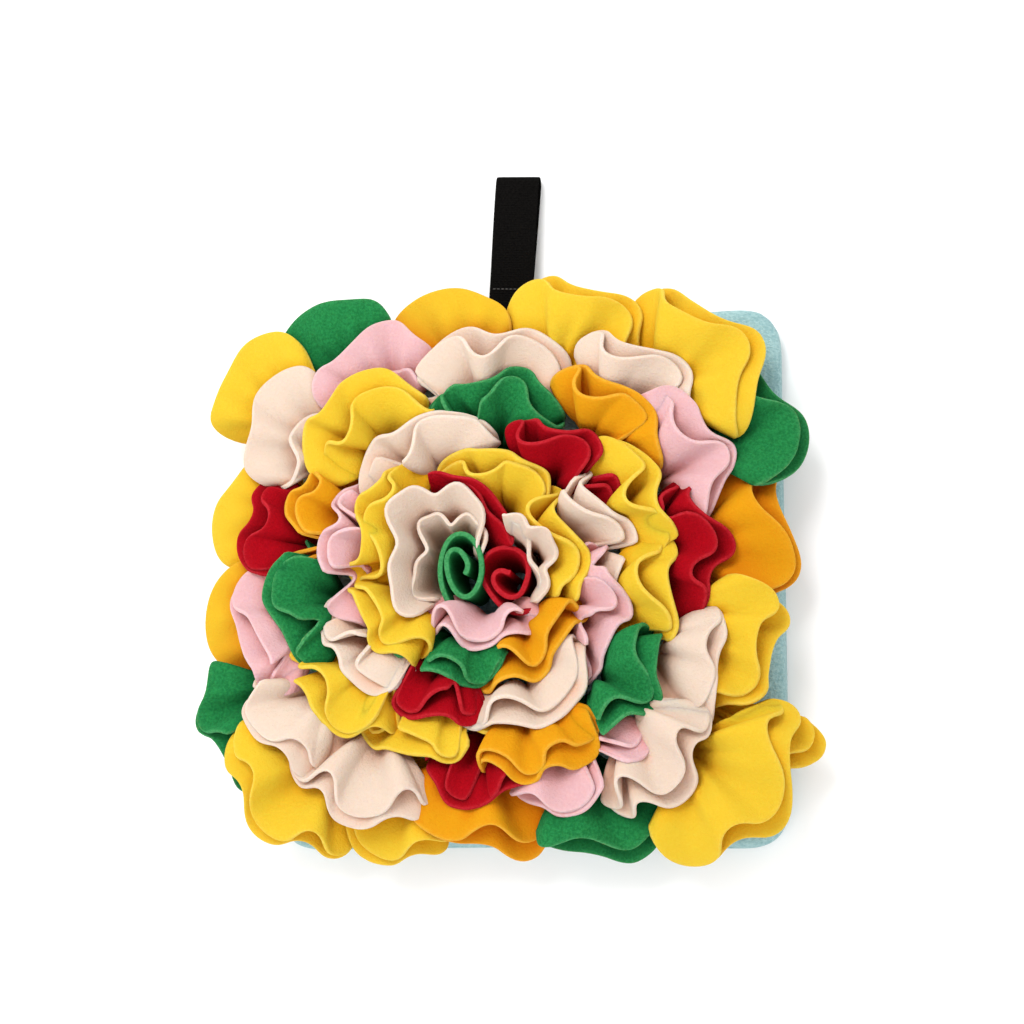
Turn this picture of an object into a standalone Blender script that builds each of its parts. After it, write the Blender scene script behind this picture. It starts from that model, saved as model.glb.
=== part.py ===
"""Snuffle mat: a padded fleece square with rings of gathered fleece pieces and a webbing loop.

The mat lies on its back. +X is its right side, +Y its top side with the loop, +Z its face.
The origin is on the flat back of the base pad, at its middle. Lengths are in metres.
"""

import math
from typing import NamedTuple

import bmesh
import bpy
import numpy as np
from mathutils import Vector
from mathutils.bvhtree import BVHTree

MM = 0.001
UPWARDS = np.array((0.0, 0.0, 1.0))

# Base pad
PAD_WIDE = 285 * MM
PAD_TALL = 300 * MM
PAD_THICK = 20 * MM
PAD_CORNER = 24 * MM
PAD_EDGE = 9 * MM

# Hanging loop: one length of webbing, folded double and sewn into the top seam
WEBBING_WIDE = 25 * MM
WEBBING_THICK = 1.3 * MM
LOOP_REACH = 82 * MM
LOOP_STITCHED = 16 * MM
LOOP_X = -11.5 * MM
LOOP_LEAN = math.radians(3)
LOOP_SEAM_Z = 10 * MM
LOOP_END_Z = 5.4 * MM
LOOP_EYE = 7 * MM

# Fleece pieces
FLEECE_THICK = 2.5 * MM
SEAM_GAP = 0.3 * MM
CLEARANCE = 0.35 * MM    # between pieces that lie on each other
RESTING_GAP = 0.95 * MM  # aimed at where a sheet is raised over another
GATHER_WIDE = 15 * MM
GATHER_OPENS = 0.35      # power of the share of the reach; low opens the fan near the gather
WIDEST = 0.92            # most that half the rim's width may be, as a share of the reach
LOBE = 0.04              # how far the rim's outline swells over each fold
UNEVEN = 0.05            # how much wider one fold is than the next
END_SWING = 0.45         # swing of the folds at the ends, as a share of that in the middle
ROSETTE = np.array((-18 * MM, 2 * MM, 0.0))

# How finely a piece is made and laid
ROWS_ALONG = 4
SMOOTH_ACROSS = 12
FOLDED_ACROSS = 14
RUN_STEPS = 24
FEELERS = 4 * MM
SPREADING = 3
LIFT_STEP = math.radians(3)
MOST_LIFTS = 15


class Ring(NamedTuple):
    """What the pieces of one ring share; lengths in mm, swing in degrees."""

    over: float     # how far the rim's middle stands out from the gather
    up: float       # how far it stands up from the pad
    swing: float    # how far the folds turn from side to side
    bulge: float    # rise of the sheet between gather and rim, as a share of the reach
    trim: float     # how much shorter the ends are cut, as a share of the reach
    drop: float     # height from which a sheet is let down on the ones that it lies on


# From the edge of the mat inwards, which is the order of sewing
RINGS = {
    "outer": Ring(over=54, up=17, swing=50, bulge=0.10, trim=0.22, drop=30),
    "fourth": Ring(over=47, up=25, swing=58, bulge=0.12, trim=0.20, drop=30),
    "third": Ring(over=45, up=31, swing=64, bulge=0.12, trim=0.16, drop=30),
    "second": Ring(over=42, up=36, swing=70, bulge=0.12, trim=0.14, drop=30),
    "inner": Ring(over=38, up=40, swing=76, bulge=0.12, trim=0.12, drop=30),
    "heart": Ring(over=24, up=45, swing=80, bulge=0.10, trim=0.10, drop=26),
    "core": Ring(over=3, up=43, swing=90, bulge=0.0, trim=0.06, drop=6),
}


class Piece(NamedTuple):
    """One half-round fleece piece; lengths in mm, angles in degrees round the rosette."""

    ring: str
    colour: str
    bearing: float        # direction of the rim's middle
    out: float            # distance of the rim's middle
    wide: float           # width of the rim as it stands
    folds: float          # waves along the rim
    phase: float          # where the first wave starts, in turns
    turn: float = 0.0     # leans this far round from straight outwards
    over: float = 0.0     # own distance out from the gather, where it isn't the ring's


#         ring, colour, bearing, out, wide, folds, phase
PIECES = (
    Piece("outer", "orange", 4, 167, 92, 2.0, 0.25),
    Piece("outer", "green", 29, 187, 78, 1.0, 0.50),
    Piece("outer", "yellow", 46, 193, 100, 2.5, 0.00),
    Piece("outer", "yellow", 71, 163, 88, 1.5, 0.30),
    Piece("outer", "orange", 98, 157, 84, 1.0, 0.25),
    Piece("outer", "green", 123, 180, 78, 1.0, 0.20),
    Piece("outer", "yellow", 141, 192, 86, 1.5, 0.60),
    Piece("outer", "yellow", 167, 160, 84, 1.5, 0.10),
    Piece("outer", "orange", 189, 160, 80, 1.0, 0.35),
    Piece("outer", "green", 210, 180, 76, 2.0, 0.15),
    Piece("outer", "yellow", 225, 188, 100, 2.0, 0.70),
    Piece("outer", "orange", 265, 148, 96, 2.0, 0.40),
    Piece("outer", "green", 294, 160, 84, 1.5, 0.05),
    Piece("outer", "yellow", 318, 202, 108, 2.0, 0.60, over=60),
    Piece("outer", "yellow", 342, 166, 80, 2.0, 0.30),
    Piece("fourth", "cream", 49, 155, 88, 1.5, 0.20),
    Piece("fourth", "pink", 30, 154, 74, 2.5, 0.10),
    Piece("fourth", "red", 4, 134, 68, 1.5, 0.60),
    Piece("fourth", "cream", 332, 152, 72, 2.0, 0.30),
    Piece("fourth", "cream", 314, 166, 72, 2.0, 0.80),
    Piece("fourth", "pink", 291, 144, 74, 2.0, 0.20),
    Piece("fourth", "red", 268, 124, 66, 2.0, 0.50),
    Piece("fourth", "cream", 234, 152, 106, 3.0, 0.10, over=54),
    Piece("fourth", "pink", 196, 144, 80, 1.5, 0.70),
    Piece("fourth", "red", 168, 137, 66, 2.0, 0.15),
    Piece("fourth", "cream", 144, 161, 88, 1.5, 0.45),
    Piece("fourth", "pink", 119, 150, 86, 1.5, 0.25),
    Piece("fourth", "cream", 88, 136, 100, 1.5, 0.50),
    Piece("third", "orange", 54, 133, 88, 2.0, 0.20),
    Piece("third", "yellow", 28, 114, 78, 2.0, 0.50),
    Piece("third", "yellow", 345, 117, 80, 1.5, 0.20),
    Piece("third", "green", 314, 128, 74, 2.5, 0.40),
    Piece("third", "orange", 289, 124, 74, 2.0, 0.00),
    Piece("third", "yellow", 250, 112, 88, 2.5, 0.30),
    Piece("third", "yellow", 221, 130, 82, 2.5, 0.70),
    Piece("third", "green", 193, 127, 74, 2.0, 0.25),
    Piece("third", "orange", 160, 115, 70, 2.5, 0.60),
    Piece("third", "yellow", 130, 134, 90, 1.5, 0.35),
    Piece("third", "green", 84, 109, 78, 2.0, 0.10),
    Piece("second", "red", 52, 92, 66, 2.0, 0.40),
    Piece("second", "cream", 18, 91, 84, 2.0, 0.10),
    Piece("second", "pink", 333, 92, 72, 2.0, 0.35),
    Piece("second", "cream", 290, 103, 98, 2.0, 0.60),
    Piece("second", "red", 248, 95, 82, 2.5, 0.20),
    Piece("second", "cream", 215, 108, 72, 2.0, 0.55),
    Piece("second", "pink", 172, 101, 94, 3.0, 0.15),
    Piece("second", "cream", 118, 100, 104, 2.0, 0.40),
    Piece("inner", "yellow", 74, 74, 84, 2.0, 0.30),
    Piece("inner", "yellow", 8, 72, 82, 2.0, 0.15),
    Piece("inner", "orange", 300, 76, 80, 2.5, 0.50),
    Piece("inner", "green", 247, 75, 82, 2.0, 0.05),
    Piece("inner", "yellow", 204, 84, 72, 2.5, 0.30),
    Piece("inner", "yellow", 156, 84, 78, 3.0, 0.60),
    Piece("heart", "cream", 143, 57, 88, 2.0, 0.40, over=32),
    Piece("heart", "cream", 18, 45, 60, 1.5, 0.10),
    Piece("heart", "pink", 282, 50, 68, 2.0, 0.60, over=27),
    Piece("core", "green", 202, 11, 42, 2.0, 0.0, turn=-22),
    Piece("core", "red", 338, 17, 34, 1.0, 0.25),
)

COLOURS = {
    "yellow": (0.88, 0.64, 0.05),
    "orange": (0.90, 0.42, 0.03),
    "green": (0.03, 0.29, 0.09),
    "pink": (0.84, 0.55, 0.60),
    "cream": (0.88, 0.78, 0.70),
    "red": (0.50, 0.02, 0.03),
    "base_blue": (0.36, 0.57, 0.60),
    "webbing_black": (0.012, 0.011, 0.011),
}


def clear_scene():
    for item in list(bpy.data.objects):
        bpy.data.objects.remove(item, do_unlink=True)


def fabric(name):
    """A matt cloth of one colour."""
    material = bpy.data.materials.new(name)
    material.use_nodes = True
    shader = material.node_tree.nodes["Principled BSDF"]
    shader.inputs["Base Color"].default_value = (*COLOURS[name], 1.0)
    shader.inputs["Roughness"].default_value = 0.95
    shader.inputs["Metallic"].default_value = 0.0
    return material


def add_object(name, form, material, collection):
    """Turn a finished bmesh into a smooth object of its own."""
    mesh = bpy.data.meshes.new(name)
    form.to_mesh(mesh)
    form.free()
    mesh.materials.append(material)
    mesh.shade_smooth()
    thing = bpy.data.objects.new(name, mesh)
    collection.objects.link(thing)
    return thing


def add_thickness(thing, thickness):
    """Thickness to both sides of an open sheet."""
    shell = thing.modifiers.new("Thickness", "SOLIDIFY")
    shell.thickness = thickness
    shell.offset = 0.0
    return shell


def skin(thing):
    """Search tree over an object's surface, in the mat's frame, as its modifiers leave it."""
    bpy.context.view_layer.update()
    shown = thing.evaluated_get(bpy.context.evaluated_depsgraph_get())
    mesh = shown.to_mesh()
    points = [thing.matrix_world @ vertex.co for vertex in mesh.vertices]
    faces = [tuple(face.vertices) for face in mesh.polygons]
    shown.to_mesh_clear()
    return BVHTree.FromPolygons(points, faces)


def is_upright(edge):
    return abs(edge.verts[0].co.z - edge.verts[1].co.z) > PAD_THICK / 2


def base_pad(collection, material):
    """A padded square: rounded corners, soft edges and a flat back."""
    form = bmesh.new()
    bmesh.ops.create_cube(form, size=1.0)
    bmesh.ops.scale(form, vec=(PAD_WIDE, PAD_TALL, PAD_THICK), verts=form.verts)
    bmesh.ops.translate(form, vec=(0, 0, PAD_THICK / 2), verts=form.verts)
    corners = [edge for edge in form.edges if is_upright(edge)]
    bmesh.ops.bevel(form, geom=corners, offset=PAD_CORNER, segments=5, profile=0.5, affect="EDGES")
    rims = [edge for edge in form.edges if not is_upright(edge)]
    bmesh.ops.bevel(form, geom=rims, offset=PAD_EDGE, segments=3, profile=0.5, affect="EDGES")
    return add_object("base_pad", form, material, collection)


def loop_path(steps=10, bend_steps=5):
    """Points (y, z) of the webbing from the seam, round the fold and back to the seam."""
    radius = LOOP_EYE / 2 + WEBBING_THICK / 2
    closed = WEBBING_THICK / 2 + SEAM_GAP / 2
    bend = LOOP_REACH - radius
    upper = []
    lower = []
    for step in range(steps + 1):
        share = step / steps
        middle = LOOP_SEAM_Z + (LOOP_END_Z - LOOP_SEAM_Z) * share**1.5
        opening = max(0.0, (share * bend - LOOP_STITCHED) / (bend - LOOP_STITCHED))
        half = closed + (radius - closed) * math.sin(opening * math.pi / 2) ** 1.5
        upper.append((share * bend, middle + half))
        lower.append((share * bend, middle - half))
    angles = [math.pi * step / (bend_steps + 1) for step in range(1, bend_steps + 1)]
    fold = [(bend + radius * math.sin(a), LOOP_END_Z + radius * math.cos(a)) for a in angles]
    return upper + fold + lower[::-1]


def sheet_form(rows):
    """Open sheet over rows of points."""
    form = bmesh.new()
    grid = [[form.verts.new(point) for point in row] for row in rows]
    for near, far in zip(grid, grid[1:]):
        for left in range(len(near) - 1):
            form.faces.new((near[left], near[left + 1], far[left + 1], far[left]))
    return form


def hanging_loop(collection, material):
    """Webbing folded double, with an eye at its far end."""
    half = WEBBING_WIDE / 2
    rungs = [((-half, y, z), (half, y, z)) for y, z in loop_path()]
    loop = add_object("hanging_loop", sheet_form(rungs), material, collection)
    add_thickness(loop, WEBBING_THICK)
    loop.rotation_euler.z = -LOOP_LEAN
    loop.location = (LOOP_X, PAD_TALL / 2 + SEAM_GAP + half * math.sin(LOOP_LEAN), 0.0)
    return loop


class Stance(NamedTuple):
    """Where a piece is gathered and the three directions of its sheet."""

    root: np.ndarray
    axis: np.ndarray    # from the gather to the rim's middle
    side: np.ndarray    # along the gather
    inner: np.ndarray   # off the sheet, towards the rosette's heart


def stance(piece, lift):
    ring = RINGS[piece.ring]
    over = piece.over or ring.over
    bearing = math.radians(piece.bearing)
    facing = bearing + math.radians(piece.turn)
    lean = math.atan2(ring.up, over) + lift
    outwards = np.array((math.cos(facing), math.sin(facing), 0.0))
    side = np.array((-math.sin(facing), math.cos(facing), 0.0))
    axis = math.cos(lean) * outwards + math.sin(lean) * UPWARDS
    rim = np.array((math.cos(bearing), math.sin(bearing), 0.0)) * piece.out * MM
    edge_low = FLEECE_THICK / 2 * abs(math.cos(lean))
    height = PAD_THICK + SEAM_GAP + CLEARANCE + edge_low
    root = ROSETTE + rim - over * MM * outwards + height * UPWARDS
    return Stance(root, axis, side, np.cross(axis, side))


def rim_run(piece, swing, spread, across):
    """Angles (sideways, upwards) of each line from the gather to the rim.

    The rim is a meander: its heading swings from side to side as it runs across, which gives
    round folds of even depth. Its ends are brought level.
    """
    fine = np.linspace(0.0, 1.0, RUN_STEPS * across + 1)
    uneven = fine + UNEVEN * np.sin(2 * math.pi * (fine + 2 * piece.phase))
    calmer_ends = END_SWING + (1 - END_SWING) * np.sin(math.pi * fine)
    heading = swing * calmer_ends * np.sin(2 * math.pi * (piece.folds * uneven + piece.phase))
    sideways = np.cumsum(np.cos(heading))
    upwards = np.cumsum(np.sin(heading))
    sideways -= (sideways[0] + sideways[-1]) / 2
    upwards -= np.linspace(upwards[0], upwards[-1], fine.size)
    upwards -= upwards.mean()
    size = spread / (sideways[-1] - sideways[0])
    return (sideways * size)[::RUN_STEPS], (upwards * size)[::RUN_STEPS]


def fan_points(piece, stand, across):
    """Middle surface of one piece, as rows of points from the gather out to the rim."""
    ring = RINGS[piece.ring]
    reach = math.hypot(piece.over or ring.over, ring.up) * MM
    spread = 2 * math.asin(min(WIDEST, piece.wide * MM / 2 / reach))
    sideways, upwards = rim_run(piece, math.radians(ring.swing), spread, across)
    ends = np.abs(np.linspace(-1.0, 1.0, across + 1))
    swells = LOBE * np.cos(2 * math.pi * (piece.folds * ends + piece.phase))
    lengths = reach * (1 + swells - ring.trim * ends**3)
    rows = []
    for share in np.linspace(0.0, 1.0, ROWS_ALONG + 1):
        opened = share**GATHER_OPENS
        ray = np.outer(np.cos(upwards) * np.cos(sideways * opened), stand.axis)
        ray += np.outer(np.cos(upwards) * np.sin(sideways * opened), stand.side)
        ray += np.outer(np.sin(upwards) * opened, stand.inner)
        gather = GATHER_WIDE * (1 - share) * np.linspace(-0.5, 0.5, across + 1)
        arch = ring.bulge * reach * 4 * share * (1 - share)
        row = stand.root + (share * lengths)[:, None] * ray
        rows.append(row + np.outer(gather, stand.side) + arch * stand.inner)
    return np.array(rows)


def rise_over(point, stand, drop, sewn):
    """How far a point of a sheet has to rise to rest on the pieces under and beside it."""
    gap = FLEECE_THICK / 2 + RESTING_GAP
    feelers = [np.zeros(3)]
    feelers += [sign * FEELERS * way for sign in (-1, 1) for way in (stand.axis, stand.side)]
    rise = 0.0
    for feeler in feelers:
        high = Vector(point + feeler + drop * stand.inner)
        for tree in sewn:
            hit, _, _, fall = tree.ray_cast(high, Vector(-stand.inner), drop + gap)
            if hit:
                rise = max(rise, drop - fall + gap)
    return rise


def lie_over(rows, stand, drop, sewn):
    """Raise the sheet in a soft swell where it would cut into the pieces that it lies on."""
    needed = np.array([[rise_over(point, stand, drop, sewn) for point in row] for row in rows])
    needed[0] = 0.0
    rise = needed.copy()
    for _ in range(SPREADING):
        edged = np.pad(rise, 1, mode="edge")
        around = edged[:-2, 1:-1] + edged[2:, 1:-1] + edged[1:-1, :-2] + edged[1:-1, 2:]
        rise = np.maximum(around / 4, needed)
        rise[0] = 0.0
    return rows + rise[..., None] * stand.inner


def lay_piece(name, piece, sewn, material, collection):
    """Sew on one piece, raised or leant back until it clears all that is already sewn."""
    across = SMOOTH_ACROSS if piece.folds < 2 else FOLDED_ACROSS
    drop = RINGS[piece.ring].drop * MM
    root = stance(piece, 0.0).root
    flat = fan_points(piece, stance(piece, 0.0), across) - root
    thing = add_object(name, sheet_form(flat), material, collection)
    thing.location = root
    shell = add_thickness(thing, FLEECE_THICK + 2 * CLEARANCE)
    for lifts in range(MOST_LIFTS):
        stand = stance(piece, lifts * LIFT_STEP)
        rows = lie_over(fan_points(piece, stand, across), stand, drop, sewn)
        thing.data.vertices.foreach_set("co", (rows - root).ravel())
        thing.data.update()
        tree = skin(thing)
        if not any(tree.overlap(other) for other in sewn):
            break
    shell.thickness = FLEECE_THICK
    return thing


def main():
    clear_scene()
    mat = bpy.data.collections.new("snuffle_mat")
    bpy.context.scene.collection.children.link(mat)
    cloths = {name: fabric(name) for name in COLOURS}
    pad = base_pad(mat, cloths["base_blue"])
    loop = hanging_loop(mat, cloths["webbing_black"])
    sewn = [skin(pad), skin(loop)]
    for number, piece in enumerate(PIECES, start=1):
        name = f"{piece.ring}_{piece.colour}_{number:02d}"
        sewn.append(skin(lay_piece(name, piece, sewn, cloths[piece.colour], mat)))


main()
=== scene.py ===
"""Snuffle mat: fleece pieces, padded base and webbing loop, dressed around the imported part."""

import math
from typing import NamedTuple

import bmesh
import bpy
import numpy as np
from mathutils import Matrix, Vector, noise
from mathutils.bvhtree import BVHTree


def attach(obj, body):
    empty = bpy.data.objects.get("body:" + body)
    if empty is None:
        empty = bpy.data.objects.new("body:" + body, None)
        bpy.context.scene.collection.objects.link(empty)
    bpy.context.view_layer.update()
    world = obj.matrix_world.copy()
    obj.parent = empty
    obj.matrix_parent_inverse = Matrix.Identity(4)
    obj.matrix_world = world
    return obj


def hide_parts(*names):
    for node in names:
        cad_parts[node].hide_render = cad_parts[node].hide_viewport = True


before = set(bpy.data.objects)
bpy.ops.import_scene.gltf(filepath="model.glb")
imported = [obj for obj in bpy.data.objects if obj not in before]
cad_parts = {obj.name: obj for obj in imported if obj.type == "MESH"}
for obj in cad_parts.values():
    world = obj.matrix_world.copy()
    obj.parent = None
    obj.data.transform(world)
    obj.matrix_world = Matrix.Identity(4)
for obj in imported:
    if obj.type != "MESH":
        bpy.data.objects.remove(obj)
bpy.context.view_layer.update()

MM = 0.001
UPWARDS = np.array((0.0, 0.0, 1.0))

# ---------------------------------------------------------------- sizes, the same as the part's

PAD_WIDE = 285 * MM
PAD_TALL = 300 * MM
PAD_THICK = 20 * MM
WEBBING_WIDE = 25 * MM
WEBBING_THICK = 1.3 * MM
LOOP_REACH = 82 * MM     # from the seam to the fold
LOOP_STITCHED = 16 * MM  # how far both layers are sewn together
LOOP_X = -11.5 * MM
LOOP_LEAN = math.radians(3)
LOOP_SEAM_Z = 10 * MM
LOOP_END_Z = 5.4 * MM
LOOP_EYE = 7 * MM        # opening between the layers at the fold
SEAM_GAP = 0.3 * MM
GATHER_WIDE = 15 * MM
GATHER_OPENS = 0.35      # power of the share of the reach; low opens the fan near the gather
WIDEST = 0.92            # most that half the rim's width may be, as a share of the reach
ROSETTE = np.array((-18 * MM, 2 * MM, 0.0))

# ---------------------------------------------------------------- the cloth as it is sewn here

FLEECE_THICK = 2.3 * MM
CUTS = [size * MM for size in (34, 38, 42, 46, 50, 54)]     # radii of the rounds as cut
ACROSS = 34              # steps of a sheet's grid along its rim
ALONG = 9                # and from its gather to its rim
RIM_BAND = 0.012         # width of the last row, as a share
UNEVEN = 0.06            # how much wider one fold is than the next
WANDER = 0.32            # and how much higher
DEEPEST = 0.68           # most that a fold's depth may be, as a share of its width
SWINGS = 1.2             # how far the rim's heading swings, over that of a plain wave
CORNER = 0.10            # how far the rim's two ends are rounded off, as a share of the reach
DROOP = 7 * MM           # how far the sides of a half hang
PUCKERS = 1.6 * MM       # how far the cloth is drawn up in small folds between gather and rim
BROAD_DENTS = (38.0, 3.0)           # the cloth's unevenness: how many a metre, how deep in mm
FINE_DENTS = (120.0, 1.0)
NOISE_STEP = 0.37        # how far apart two pieces lie in the noise that dents them, in metres
JOINED_FROM = 0.60       # where the two layers start to close on each other, as a share
RESTING_GAP = 0.35 * MM  # left between a sheet and what it rests on
FEELERS = 3 * MM         # how far round a point its sheet feels for what it rests on
SPREADING = 90           # passes that spread a rise over the sheet
EASING = 3               # and that soften it afterwards
LIP_DROP = 26 * MM       # how far up a heart piece looks for a neighbour to lie on
LIP_FREE = 5             # its rows that stand free of its neighbours
SINKS = 0.25             # how far the heap's top sinks, as a share of its height over this:
SINKS_ABOVE = 58 * MM
CORE_THICKER = 1.25      # how much thicker the tightly rolled cores are
SHADED_WITHIN = 45 * MM  # how near the cloth is that shades a point
SKY = [
    Vector((math.cos(turn) * math.sin(tilt), math.sin(turn) * math.sin(tilt), math.cos(tilt)))
    for tilt, count in ((0.15, 3), (0.6, 6), (1.05, 7))
    for turn in (2 * math.pi * (step + tilt) / count for step in range(count))
]                        # directions from which light comes


class Ring(NamedTuple):
    """What the pieces of one ring share; lengths in mm."""

    over: float      # from the gather out to the rim's middle
    up: float        # and up to it
    bulge: float     # how far a half swells between gather and rim, as a share of its reach
    trim: float      # how much shorter it is at its sides, as a share of its reach
    drop: float      # how far up it looks for a neighbour to lie on
    deep: float      # most that the folds rise along the rim of the half in front
    lobe: float      # how far the rim's outline swells over each fold
    back: float      # degrees that the half behind leans out from the middle
    front: float     # degrees that the half in front stands up from it


#                 over, up, bulge, trim, drop, deep, lobe, back, front
RINGS = {
    "outer": Ring(54, 18, 0.17, 0.13, 28, 19, 0.06, 3, 6),
    "fourth": Ring(46, 26, 0.15, 0.11, 28, 22, 0.05, 4, 7),
    "third": Ring(42, 30, 0.14, 0.09, 28, 26, 0.03, 5, 8),
    "second": Ring(39, 33, 0.12, 0.09, 30, 26, 0.02, 5, 9),
    "inner": Ring(36, 34, 0.12, 0.09, 30, 25, 0.0, 5, 9),
    "heart": Ring(27, 36, 0.10, 0.10, 30, 18, 0.0, 6, 9),
}


class Piece(NamedTuple):
    """One round of fleece, held at its middle; lengths in mm, angles in degrees.

    What has a row in WRAPS takes its shape from there, and only its place from here.
    """

    ring: str
    colour: str
    bearing: float = 0.0  # direction of the rim's middle, from the rosette's heart
    out: float = 0.0      # distance of the rim's middle
    wide: float = 0.0     # width of the rim as it stands
    folds: float = 0.0    # waves along the rim
    phase: float = 0.0    # where the first wave starts, in turns
    over: float = 0.0     # own distance out from the gather, where it isn't the ring's
    lean: float = 0.0     # degrees that it stands up more than its ring
    short: float = 0.0    # how far its front half falls short of the rim behind, as a share
    stands: float = 0.0   # degrees that its front half stands up besides
    own: str = ""         # name, where the piece has no solid of its own


#         ring, colour, bearing, out, wide, folds, phase
PIECES = (
    Piece("outer", "orange", 6, 164, 106, 2.0, 0.25, over=58),
    Piece("outer", "green", 28, 184, 92, 1.5, 0.50),
    Piece("outer", "yellow", 44, 191, 120, 2.25, 0.10, over=60, lean=6),
    Piece("outer", "yellow", 70, 166, 100, 2.25, 0.30),
    Piece("outer", "orange", 99, 157, 94, 1.0, 0.25, short=0.45),
    Piece("outer", "green", 123, 179, 84, 1.0, 0.20, short=0.45),
    Piece("outer", "yellow", 141, 190, 88, 1.25, 0.60, short=0.45),
    Piece("outer", "yellow", 165, 156, 88, 1.25, 0.10, short=0.4),
    Piece("outer", "orange", 189, 157, 86, 1.0, 0.35, short=0.4),
    Piece("outer", "green", 211, 180, 86, 2.25, 0.15),
    Piece("outer", "yellow", 228, 186, 98, 2.5, 0.70, lean=4),
    Piece("outer", "yellow", 249, 163, 76, 1.5, 0.30, own="outer_yellow_tab"),
    Piece("outer", "orange", 270, 152, 104, 2.25, 0.40),
    Piece("outer", "green", 296, 169, 92, 1.5, 0.05),
    Piece("outer", "yellow", 328, 197, 46, 1.0, 0.25, own="outer_yellow_flag"),
    Piece("outer", "yellow", 318, 204, 118, 2.5, 0.60, over=60),
    Piece("outer", "yellow", 342, 166, 90, 2.25, 0.30, lean=3),
    Piece("fourth", "cream", 49, 155, 92, 2.0, 0.20),
    Piece("fourth", "pink", 29, 150, 92, 2.5, 0.10),
    Piece("fourth", "red", 3, 133, 86, 2.5, 0.60),
    Piece("fourth", "cream", 331, 150, 90, 1.75, 0.30),
    Piece("fourth", "cream", 312, 164, 84, 2.5, 0.80),
    Piece("fourth", "pink", 296, 148, 92, 2.0, 0.20),
    Piece("fourth", "red", 271, 133, 78, 1.75, 0.30),
    Piece("fourth", "cream", 237, 157, 106, 3.0, 0.10, over=54),
    Piece("fourth", "cream", 218, 160, 78, 1.75, 0.30, own="fourth_cream_left"),
    Piece("fourth", "pink", 196, 146, 84, 1.5, 0.70),
    Piece("fourth", "red", 170, 138, 74, 2.0, 0.65),
    Piece("fourth", "cream", 144, 161, 90, 1.5, 0.45, short=0.42),
    Piece("fourth", "pink", 119, 150, 90, 2.0, 0.25, short=0.42),
    Piece("fourth", "cream", 88, 134, 104, 2.0, 0.50),
    Piece("third", "orange", 48, 133, 90, 2.0, 0.20),
    Piece("third", "yellow", 20, 117, 98, 2.0, 0.50),
    Piece("third", "yellow", 344, 118, 92, 2.0, 0.20),
    Piece("third", "green", 314, 131, 96, 2.5, 0.40),
    Piece("third", "orange", 288, 131, 80, 2.5, 0.00),
    Piece("third", "yellow", 250, 119, 92, 2.5, 0.30),
    Piece("third", "yellow", 221, 132, 86, 2.0, 0.70, lean=4),
    Piece("third", "green", 191, 127, 86, 2.0, 0.25),
    Piece("third", "orange", 160, 117, 76, 2.5, 0.60),
    Piece("third", "yellow", 130, 134, 92, 2.0, 0.35, lean=6, short=0.12),
    Piece("third", "green", 85, 110, 86, 2.25, 0.10),
    Piece("second", "red", 49, 98, 88, 2.75, 0.65),
    Piece("second", "cream", 15, 91, 80, 2.0, 0.10),
    Piece("second", "pink", 332, 93, 88, 2.5, 0.35, lean=2),
    Piece("second", "cream", 288, 109, 108, 2.0, 0.60, lean=6),
    Piece("second", "red", 248, 101, 74, 2.0, 0.20),
    Piece("second", "cream", 215, 108, 78, 2.0, 0.55, lean=4),
    Piece("second", "pink", 172, 101, 96, 3.5, 0.15),
    Piece("second", "cream", 117, 98, 108, 2.0, 0.40),
    Piece("inner", "yellow", 76, 72, 84, 2.0, 0.30, lean=2),
    Piece("inner", "yellow", 8, 74, 84, 2.0, 0.15),
    Piece("inner", "orange", 298, 81, 88, 2.75, 0.50),
    Piece("inner", "green", 246, 81, 82, 2.5, 0.05),
    Piece("inner", "yellow", 204, 88, 80, 2.5, 0.30),
    Piece("inner", "yellow", 156, 88, 86, 2.75, 0.60),
    Piece("heart", "red", 70, 52, own="heart_red_strip"),
    Piece("heart", "cream", 143, 57, over=32),
    Piece("heart", "cream", 18, 45),
    Piece("heart", "pink", 273, 60, 78, 2.5, 0.75, over=30, stands=-3),
    Piece("core", "green"),
    Piece("core", "red"),
)

# ---------------------------------------------------------------- materials


class Shade:
    """The value of a socket. Arithmetic on it adds Math nodes."""

    def __init__(self, finish, socket):
        self.finish = finish
        self.socket = socket

    def _math(self, operation, first, second):
        return self.finish.node("ShaderNodeMath", {"operation": operation}, {0: first, 1: second})

    def __add__(self, other):
        return self._math("ADD", self, other)

    def __radd__(self, other):
        return self._math("ADD", other, self)

    def __sub__(self, other):
        return self._math("SUBTRACT", self, other)

    def __rsub__(self, other):
        return self._math("SUBTRACT", other, self)

    def __mul__(self, other):
        return self._math("MULTIPLY", self, other)

    def __rmul__(self, other):
        return self._math("MULTIPLY", other, self)

    def __pow__(self, other):
        return self._math("POWER", self, other)


# sockets of a Mix node that blends colours
MIX_SHARE, MIX_FIRST, MIX_SECOND, MIX_RESULT = 0, 6, 7, 2


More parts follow.
